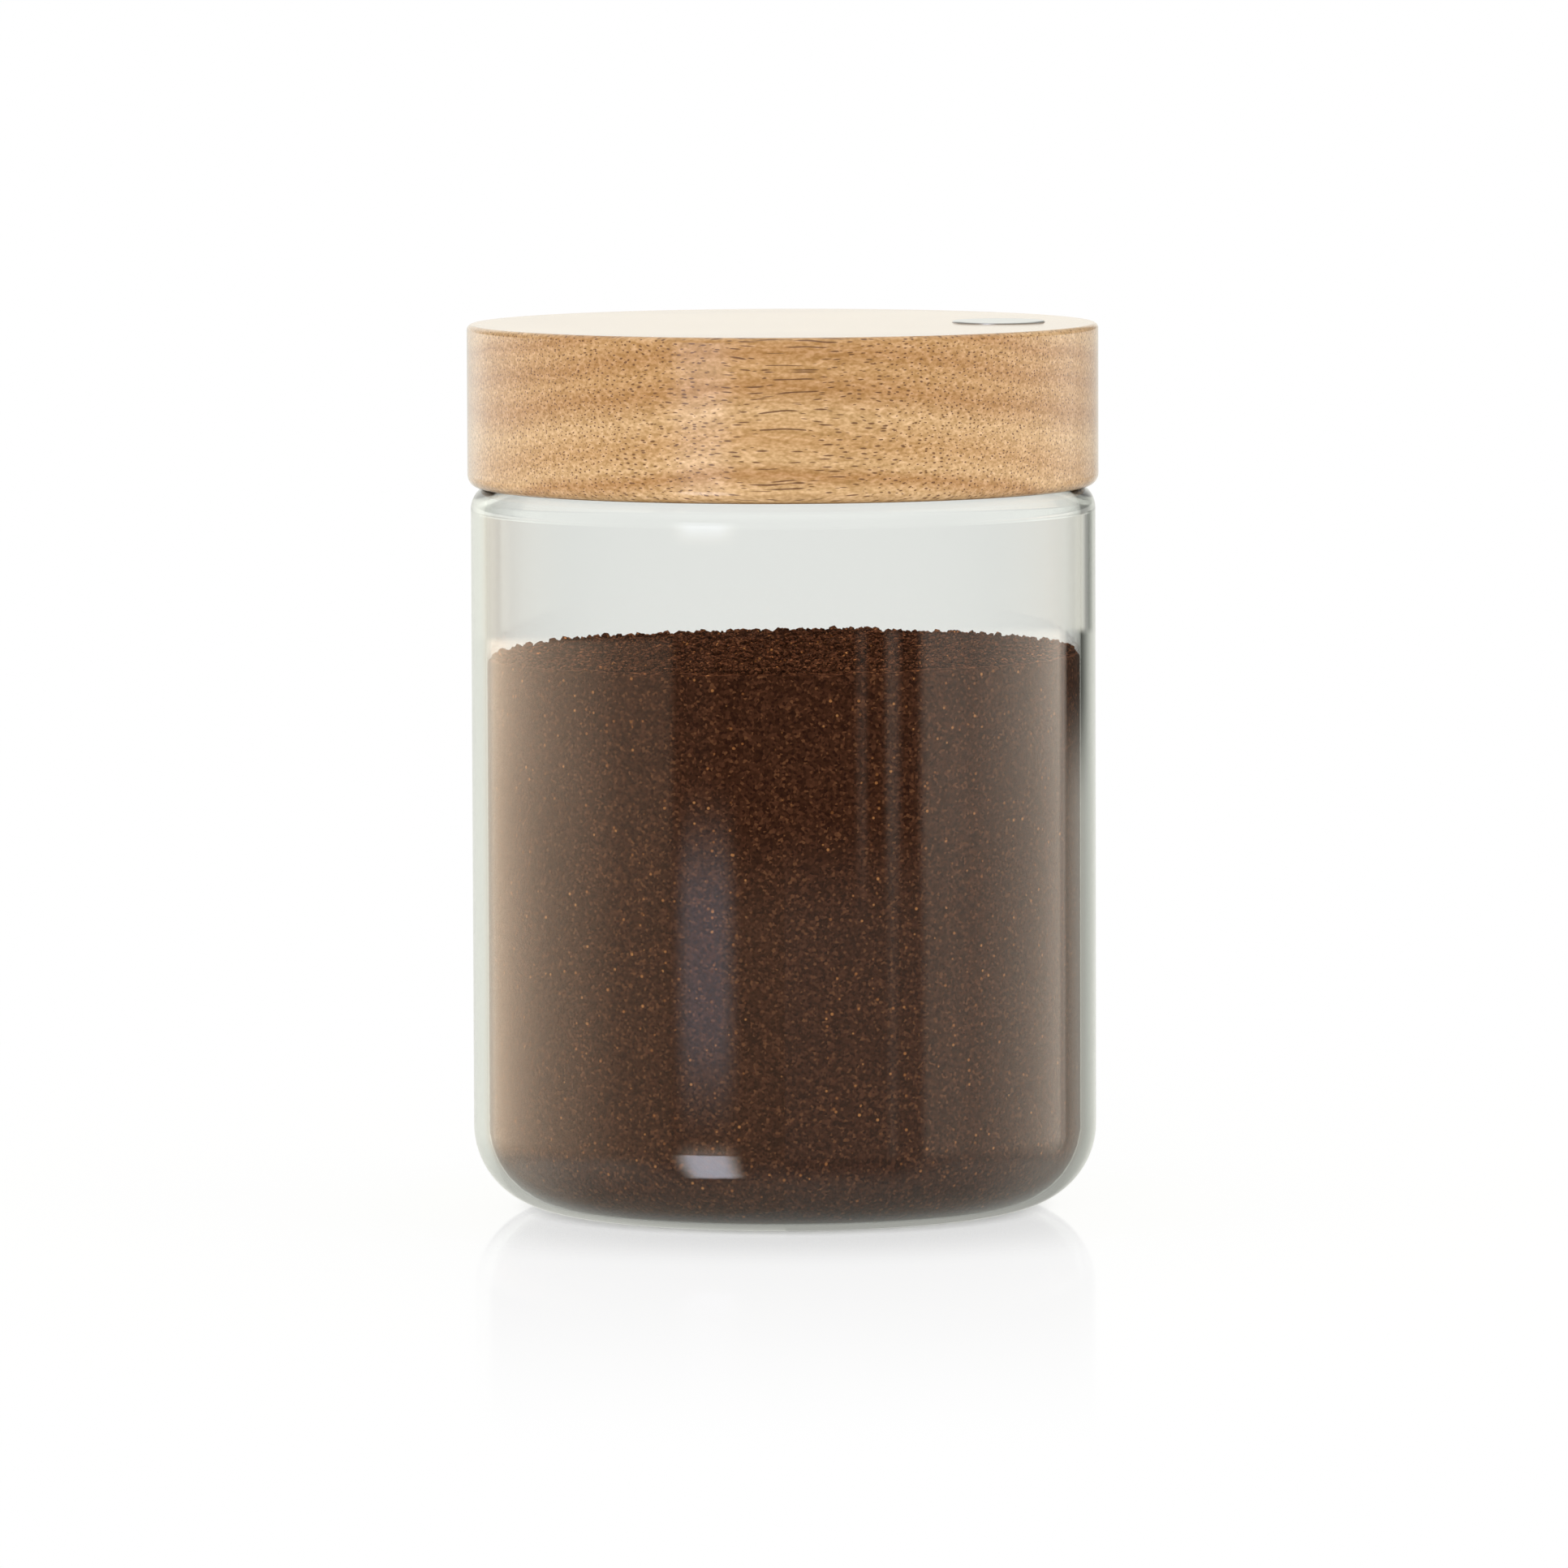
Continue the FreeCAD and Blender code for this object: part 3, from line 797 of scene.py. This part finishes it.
def mirroredLevel(tree, height, turn, onRight):
    # what a mirror sees in each direction, and how much of it has the cards' warm tint
    fromFront = addNode(tree, "Math", {0: turn}, operation="ABSOLUTE").outputs[0]
    strips = levelStrips(tree, fromFront)

    # cards along both sides, and their upper ends
    card = addNode(tree, "Mix", {0: onRight, 2: strips["leftCards"], 3: strips["rightCards"]}).outputs[0]
    end = addNode(tree, "Mix", {0: onRight, 2: strips["leftEnds"], 3: strips["rightEnds"]}).outputs[0]
    lowered = {0: onRight, 1: -studio["rightHigher"], 2: height}
    rise = addNode(tree, "Math", lowered, operation="MULTIPLY_ADD").outputs[0]
    top = {0: rise, (1, 2): studio["cardTop"]}
    topped = addNode(tree, "MapRange", top, interpolation_type="SMOOTHSTEP").outputs[0]
    upper = addNode(tree, "Mix", {0: topped, 2: card, 3: end}).outputs[0]

    # the table under them, which mirrors them weakly
    ending = {0: fromFront, (1, 2): studio["cardEnd"], (3, 4): (1.0, 0.0)}
    aside = addNode(tree, "MapRange", ending).outputs[0]
    drop = addNode(tree, "Mix", {0: aside, 2: 1.0, 3: studio["cardDrop"]}).outputs[0]
    weaker = addNode(tree, "Math", {0: upper, 1: drop}, operation="MULTIPLY").outputs[0]
    under = addNode(tree, "Math", {0: weaker, 1: strips["table"]}, operation="MAXIMUM").outputs[0]
    further = {0: fromFront, (1, 2): studio["tableTurn"], (3, 4): (0.0, studio["tableRise"])}
    edge = addNode(tree, "MapRange", further).outputs[0]
    nearer = addNode(tree, "Math", {0: height, 1: edge}, operation="SUBTRACT").outputs[0]
    down = {0: nearer, (1, 2): studio["tableEdge"], (3, 4): (1.0, 0.0)}
    lower = addNode(tree, "MapRange", down, interpolation_type="SMOOTHSTEP").outputs[0]
    low = addNode(tree, "Mix", {0: lower, 2: upper, 3: under}).outputs[0]

    # the table close to the jar, and straight under it
    steep = addNode(tree, "MapRange", {0: height, (1, 2): studio["baseTop"], (3, 4): (1.0, 0.0)}).outputs[0]
    dimmer = addNode(tree, "Mix", {0: onRight, 2: 1.0, 3: studio["rightBase"]}).outputs[0]
    base = addNode(tree, "Math", {0: strips["base"], 1: dimmer}, operation="MULTIPLY").outputs[0]
    low = addNode(tree, "Mix", {0: steep, 2: low, 3: base}).outputs[0]
    plumb = {0: height, (1, 2): studio["underJar"], (3, 4): (1.0, 0.0)}
    straight = addNode(tree, "MapRange", plumb).outputs[0]
    low = addNode(tree, "Mix", {0: straight, 2: low, 3: studio["underLevel"]}).outputs[0]

    # walls above the cards, then the sky, and a white backdrop
    brighter = {0: height, (1, 2): studio["sky"], (3, 4): studio["skyLevels"]}
    sky = addNode(tree, "MapRange", brighter).outputs[0]
    later = {0: onRight, 1: -studio["rightLater"], 2: fromFront}
    turned = addNode(tree, "Math", later, operation="MULTIPLY_ADD").outputs[0]
    behind = {0: turned, (1, 2): studio["backdrop"]}
    backdrop = addNode(tree, "MapRange", behind, interpolation_type="SMOOTHSTEP").outputs[0]
    skyward = addNode(tree, "Math", {0: sky, 1: backdrop}, operation="MAXIMUM").outputs[0]
    wall = addNode(tree, "Mix", {0: onRight, 2: strips["leftWall"], 3: strips["rightWall"]}).outputs[0]
    over = {0: height, (1, 2): studio["wallTop"]}
    upward = addNode(tree, "MapRange", over, interpolation_type="SMOOTHSTEP").outputs[0]
    pale = addNode(tree, "Mix", {0: upward, 2: wall, 3: skyward}).outputs[0]
    foot = {0: height, (1, 2): studio["wallFoot"]}
    above = addNode(tree, "MapRange", foot, interpolation_type="SMOOTHSTEP").outputs[0]
    level = addNode(tree, "Mix", {0: above, 2: low, 3: pale}).outputs[0]

    tinted = addNode(tree, "Math", {0: aside, 1: above}, operation="SUBTRACT", use_clamp=True).outputs[0]
    deep = {0: height, (1, 2): studio["warmFrom"], (3, 4): studio["warmLevels"]}
    facing = addNode(tree, "MapRange", deep).outputs[0]
    warmth = addNode(tree, "Math", {0: tinted, 1: facing}, operation="MULTIPLY").outputs[0]
    return level, warmth


def addSoftbox(tree, height, turn, level, warmth):
    # lays the softbox and its two images over the other levels; cool is where they show
    path = addNode(tree, "LightPath").outputs
    shallow = addNode(tree, "Math", {0: path["Transmission Depth"], 1: 2.5}, operation="LESS_THAN").outputs[0]
    left, right = studio["softboxTurn"]
    slot = within(tree, turn, left, right, studio["softboxEdge"])
    slot = addNode(tree, "Math", {0: slot, 1: shallow}, operation="MULTIPLY").outputs[0]   # not deep in glass
    cool = 0.0
    for bottom, ceiling, soft, brightness in studio["softboxBands"]:
        inside = within(tree, height, bottom, ceiling, soft)
        mask = addNode(tree, "Math", {0: slot, 1: inside}, operation="MULTIPLY").outputs[0]
        level = addNode(tree, "Mix", {0: mask, 2: level, 3: brightness}).outputs[0]
        rest = addNode(tree, "Math", {0: 1.0, 1: mask}, operation="SUBTRACT").outputs[0]
        warmth = addNode(tree, "Math", {0: warmth, 1: rest}, operation="MULTIPLY").outputs[0]
        cool = addNode(tree, "Math", {0: cool, 1: mask}, operation="MAXIMUM").outputs[0]
    return level, warmth, cool


def makeWorld():
    world = bpy.data.worlds.new("studioSurroundings")
    bpy.context.scene.world = world
    world.use_nodes = True
    world.cycles.sampling_method = "NONE"
    tree = world.node_tree
    look, bounced = lookRays(tree)
    height, turn = lookDirection(tree)
    onRight = addNode(tree, "Math", {0: turn, 1: 0.0}, operation="GREATER_THAN").outputs[0]
    level, warmth = mirroredLevel(tree, height, turn, onRight)
    level, warmth, cool = addSoftbox(tree, height, turn, level, warmth)

    # mirrors see those levels, straight looks see white, matt surfaces an even level
    shown = addNode(tree, "Mix", {0: bounced, 2: 1.0, 3: level}).outputs[0]
    strength = addNode(tree, "Mix", {0: look, 2: studio["fillLevel"], 3: shown}).outputs[0]
    warm = {0: onRight, 6: hexColour(studio["leftTint"]), 7: hexColour(studio["rightTint"])}
    cardTint = addNode(tree, "Mix", warm, data_type="RGBA").outputs[2]
    cards = {0: warmth, 6: hexColour(studio["whiteTint"]), 7: cardTint}
    carded = addNode(tree, "Mix", cards, data_type="RGBA").outputs[2]
    boxed = {0: cool, 6: carded, 7: hexColour(studio["softboxTint"])}
    tinted = addNode(tree, "Mix", boxed, data_type="RGBA").outputs[2]
    mirrored = {0: bounced, 6: hexColour("#ffffff"), 7: tinted}
    colour = addNode(tree, "Mix", mirrored, data_type="RGBA").outputs[2]
    tree.links.new(colour, tree.nodes["Background"].inputs["Color"])
    tree.links.new(strength, tree.nodes["Background"].inputs["Strength"])


# table: a pale round sheet, in metres
table = {
    "radius": 0.58,
    "around": 128,
    "gap": 0.0002,                  # keeps the glass base off the table's surface
    "colour": "#f2f2f0",
    "shadowShare": 0.06,            # how much of the table's own shading shows near the jar
    "underShare": 0.9,              # and right under it
    "underReach": (0.034, 0.044),
    "polish": 0.09,                 # mirror share of the table near the jar, none further out
    "polishReach": (0.03, 0.3),
    "basePolish": 0.21,             # and more of it close to the jar's base
    "baseReach": (0.038, 0.085),
    "roughness": 0.05,
}


def tableTop():
    # white acrylic sheet: pale and even, a weak mirror image close to what stands on it
    material, tree, shader = startMaterial("whiteAcrylicTable")
    tree.nodes.remove(shader)
    place = addNode(tree, "TexCoord").outputs["Object"]
    away = addNode(tree, "VectorMath", {0: place}, operation="LENGTH").outputs["Value"]
    near = {0: away, (1, 2): table["polishReach"], (3, 4): (1.0, 0.0)}
    fade = addNode(tree, "MapRange", near, interpolation_type="SMOOTHSTEP").outputs[0]
    under = {0: away, (1, 2): table["underReach"], (3, 4): (table["underShare"], table["shadowShare"])}
    shade = addNode(tree, "MapRange", under, interpolation_type="SMOOTHSTEP").outputs[0]
    look, bounced = lookRays(tree)

    # looks see white with a share of the real shading, matt surfaces see the plain sheet
    matt = addNode(tree, "BsdfDiffuse", {"Color": hexColour(table["colour"])}).outputs[0]
    white = addNode(tree, "Emission", {"Color": hexColour("#ffffff"), "Strength": 1.0}).outputs[0]
    shaded = addNode(tree, "Math", {0: fade, 1: shade}, operation="MULTIPLY").outputs[0]
    plain = addNode(tree, "Math", {0: 1.0, 1: shaded}, operation="SUBTRACT").outputs[0]
    share = addNode(tree, "Math", {0: plain, 1: look}, operation="MULTIPLY").outputs[0]
    pale = addNode(tree, "MixShader", {0: share, 1: matt, 2: white}).outputs[0]
    shine = {"Color": hexColour("#ffffff"), "Roughness": table["roughness"]}
    mirror = addNode(tree, "BsdfGlossy", shine).outputs[0]
    close = {0: away, (1, 2): table["baseReach"], (3, 4): (table["basePolish"], 0.0)}
    extra = addNode(tree, "MapRange", close, interpolation_type="SMOOTHSTEP").outputs[0]
    mirrors = {0: fade, 1: table["polish"], 2: extra}
    gloss = addNode(tree, "Math", mirrors, operation="MULTIPLY_ADD").outputs[0]
    polished = addNode(tree, "MixShader", {0: gloss, 1: pale, 2: mirror}).outputs[0]
    gone = addNode(tree, "BsdfTransparent").outputs[0]             # the world gives its level to mirrors
    surface = addNode(tree, "MixShader", {0: bounced, 1: polished, 2: gone}).outputs[0]
    tree.links.new(surface, tree.nodes["Material Output"].inputs["Surface"])
    material.cycles.emission_sampling = "NONE"
    return material


def makeTable():
    form = bmesh.new()
    bmesh.ops.create_circle(form, cap_ends=True, segments=table["around"], radius=table["radius"])
    mesh = bpy.data.meshes.new("tableTop")
    form.to_mesh(mesh)
    form.free()
    sheet = bpy.data.objects.new("tableTop", mesh)
    sheet.location.z = -table["gap"]
    mesh.materials.append(tableTop())
    bpy.context.scene.collection.objects.link(sheet)


# lamps: place, size and the point that they face in metres
lamps = {
    "keyLight": {"place": (-0.3, -1.2, 0.37), "size": (0.9, 0.4), "radiance": 6.7, "aim": (0, 0, 0.09)},
    "leftLight": {"place": (-0.75, -0.15, 0.22), "size": (0.7, 0.5), "radiance": 1.3, "aim": (0, 0, 0.1)},
    "rightLight": {"place": (0.75, -0.15, 0.22), "size": (0.7, 0.5), "radiance": 2.5, "aim": (0, 0, 0.1)},
    "backLight": {"place": (0.3, 1.2, 0.37), "size": (0.9, 0.4), "radiance": 5.0, "aim": (0, 0, 0.09)},
    "topLight": {"place": (0, 0.25, 1.3), "size": (0.9, 0.9), "radiance": 2.2, "aim": (0, 0, 0.14)},
}


def addLamp(name, place, size, radiance, aim):
    # a rectangle of this radiance that only matt surfaces see
    light = bpy.data.lights.new(name, "AREA")
    light.shape = "RECTANGLE"
    light.size, light.size_y = size
    light.energy = 4 * radiance * size[0] * size[1]
    lamp = bpy.data.objects.new(name, light)
    lamp.location = place
    lamp.rotation_euler = (Vector(aim) - Vector(place)).to_track_quat("-Z", "Y").to_euler()
    lamp.visible_camera = False
    lamp.visible_transmission = False
    lamp.visible_glossy = False
    bpy.context.scene.collection.objects.link(lamp)


# camera: a long lens a little above the jar, looking slightly down, in metres, degrees and lens millimetres
view = {
    "distance": 2.0,
    "height": 0.23392,
    "tiltDown": 4.77,
    "roll": -0.19,
    "lens": 290.1,
    "sensor": 36.0,
    "clipEnd": 50,
}


def makeCamera():
    camera = bpy.data.cameras.new("frontView")
    camera.lens = view["lens"]
    camera.sensor_width = view["sensor"]
    camera.clip_end = view["clipEnd"]
    viewer = bpy.data.objects.new("frontView", camera)
    tilt = Matrix.Rotation(math.radians(90 - view["tiltDown"]), 4, "X")
    roll = Matrix.Rotation(math.radians(view["roll"]), 4, "Z")
    viewer.matrix_world = Matrix.Translation((0, -view["distance"], view["height"])) @ tilt @ roll
    bpy.context.scene.collection.objects.link(viewer)
    bpy.context.scene.camera = viewer


makeWorld()
makeTable()
for lampName, settings in lamps.items():
    addLamp(lampName, **settings)
makeCamera()
bpy.context.scene.view_settings.view_transform = "Standard"
print("studio set:", len(lamps), "lamps")
